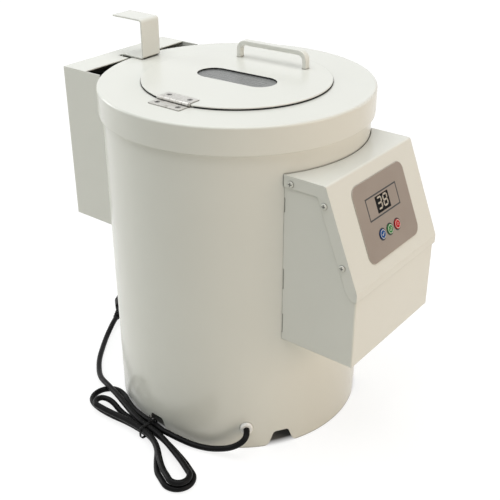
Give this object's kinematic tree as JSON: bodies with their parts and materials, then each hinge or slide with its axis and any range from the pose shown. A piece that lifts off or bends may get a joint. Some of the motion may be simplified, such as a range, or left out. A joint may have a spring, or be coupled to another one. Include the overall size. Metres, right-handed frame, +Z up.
{
  "type": "chestnut sheller",
  "caption": "Upright drum machine that shells chestnuts: hinged hatch on top, padded rotor inside, lift gate in a discharge chute, sloping control box and a tied mains lead.",
  "frame": {"origin": "centre of the drum's foot, on the floor", "axes": "+Z is up along the drum's axis; the control box faces -Y, the discharge chute is on +Y and the hatch hinge is on -X"},
  "size_m": [0.4267, 0.5295, 0.503],
  "materials": {
    "cream_paint": "satin powder coat",
    "zinc_steel": "bright zinc plate",
    "stainless": "brushed",
    "dark_steel": "satin dark paint",
    "cast_housing": "as cast",
    "alloy": "machined",
    "black_rubber": "matt",
    "clear_pane": "clear sheet",
    "black_cord": "soft black jacket",
    "white_plastic": "moulded",
    "grey_film": "printed film",
    "display_black": "gloss filter",
    "blue_key": "printed key",
    "green_key": "printed key",
    "red_key": "printed key",
    "board_green": "coated board",
    "dark_plastic": "moulded",
    "brass": "bright"
  },
  "bodies": {
    "drum": {"outer_shell": "cream_paint", "top_cover": "cream_paint", "chute_box": "cream_paint", "control_base": "cream_paint", "control_cover": "cream_paint", "control_screws": "cream_paint", "hinge_fixed_leaf": "zinc_steel", "hinge_pin": "zinc_steel", "hinge_fixed_screws": "zinc_steel", "housing_bolts": "zinc_steel", "motor_bolts": "zinc_steel", "gate_guides": "zinc_steel", "base_plate": "zinc_steel", "motor_mount": "zinc_steel", "board_standoffs": "zinc_steel", "chamber_floor": "stainless", "chamber_liner": "stainless", "upper_bearing": "stainless", "lower_bearing": "stainless", "motor_body": "dark_steel", "bearing_housing": "cast_housing", "run_capacitor": "alloy", "shaft_seal": "black_rubber", "drive_belt": "black_rubber", "inner_lead": "black_cord", "cord_lead": "black_cord", "cord_hank": "black_cord", "cord_tail": "black_cord", "cord_tie": "black_cord", "plug_body": "black_cord", "wire_loom": "black_cord", "cord_grommet": "white_plastic", "terminal_block": "white_plastic", "panel_overlay": "grey_film", "display_module": "display_black", "control_board": "board_green", "key_switches": "dark_plastic", "board_parts": "dark_plastic", "plug_pins": "brass"},
    "hatch": {"hatch_plate": "cream_paint", "hatch_seal": "black_rubber", "hatch_window": "clear_pane", "hatch_handle": "cream_paint", "handle_screws": "zinc_steel", "hinge_moving_leaf": "zinc_steel", "hinge_moving_screws": "zinc_steel"},
    "gate": {"gate_plate": "stainless", "gate_handle": "cream_paint", "gate_rivets": "cream_paint"},
    "rotor": {"rotor_disc": "stainless", "rotor_pads": "black_rubber", "rotor_shaft": "stainless", "rotor_cap": "white_plastic", "driven_pulley": "alloy"},
    "motor_rotor": {"motor_shaft": "stainless", "motor_pulley": "alloy"},
    "set_button": {"button_set": "blue_key"},
    "start_button": {"button_start": "green_key"},
    "stop_button": {"button_stop": "red_key"}
  },
  "joints": [
    {"name": "hatch_hinge", "type": "hinge", "parent": "drum", "child": "hatch", "pos_m": [-0.118, 0, 0.4529], "axis": [0, -1, 0], "range_deg": [0, 170]},
    {"name": "gate_slide", "type": "slide", "parent": "drum", "child": "gate", "axis": [0, 0, 1], "range_m": [0, 0.075]},
    {"name": "rotor_spin", "type": "hinge", "parent": "drum", "child": "rotor", "pos_m": [0, 0, 0.2], "axis": [0, 0, 1], "continuous": true},
    {"name": "motor_spin", "type": "hinge", "parent": "drum", "child": "motor_rotor", "pos_m": [0.1, 0, 0.12], "axis": [0, 0, 1], "continuous": true},
    {"name": "set_button_press", "type": "slide", "parent": "drum", "child": "set_button", "axis": [0, 0.9285, -0.3714], "range_m": [0, 0.0008], "stiffness_N_per_m": 600},
    {"name": "start_button_press", "type": "slide", "parent": "drum", "child": "start_button", "axis": [0, 0.9285, -0.3714], "range_m": [0, 0.0008], "stiffness_N_per_m": 600},
    {"name": "stop_button_press", "type": "slide", "parent": "drum", "child": "stop_button", "axis": [0, 0.9285, -0.3714], "range_m": [0, 0.0008], "stiffness_N_per_m": 600}
  ],
  "couplings": [
    {"joint": "motor_spin", "follows": "rotor_spin", "ratio": 2.4}
  ]
}
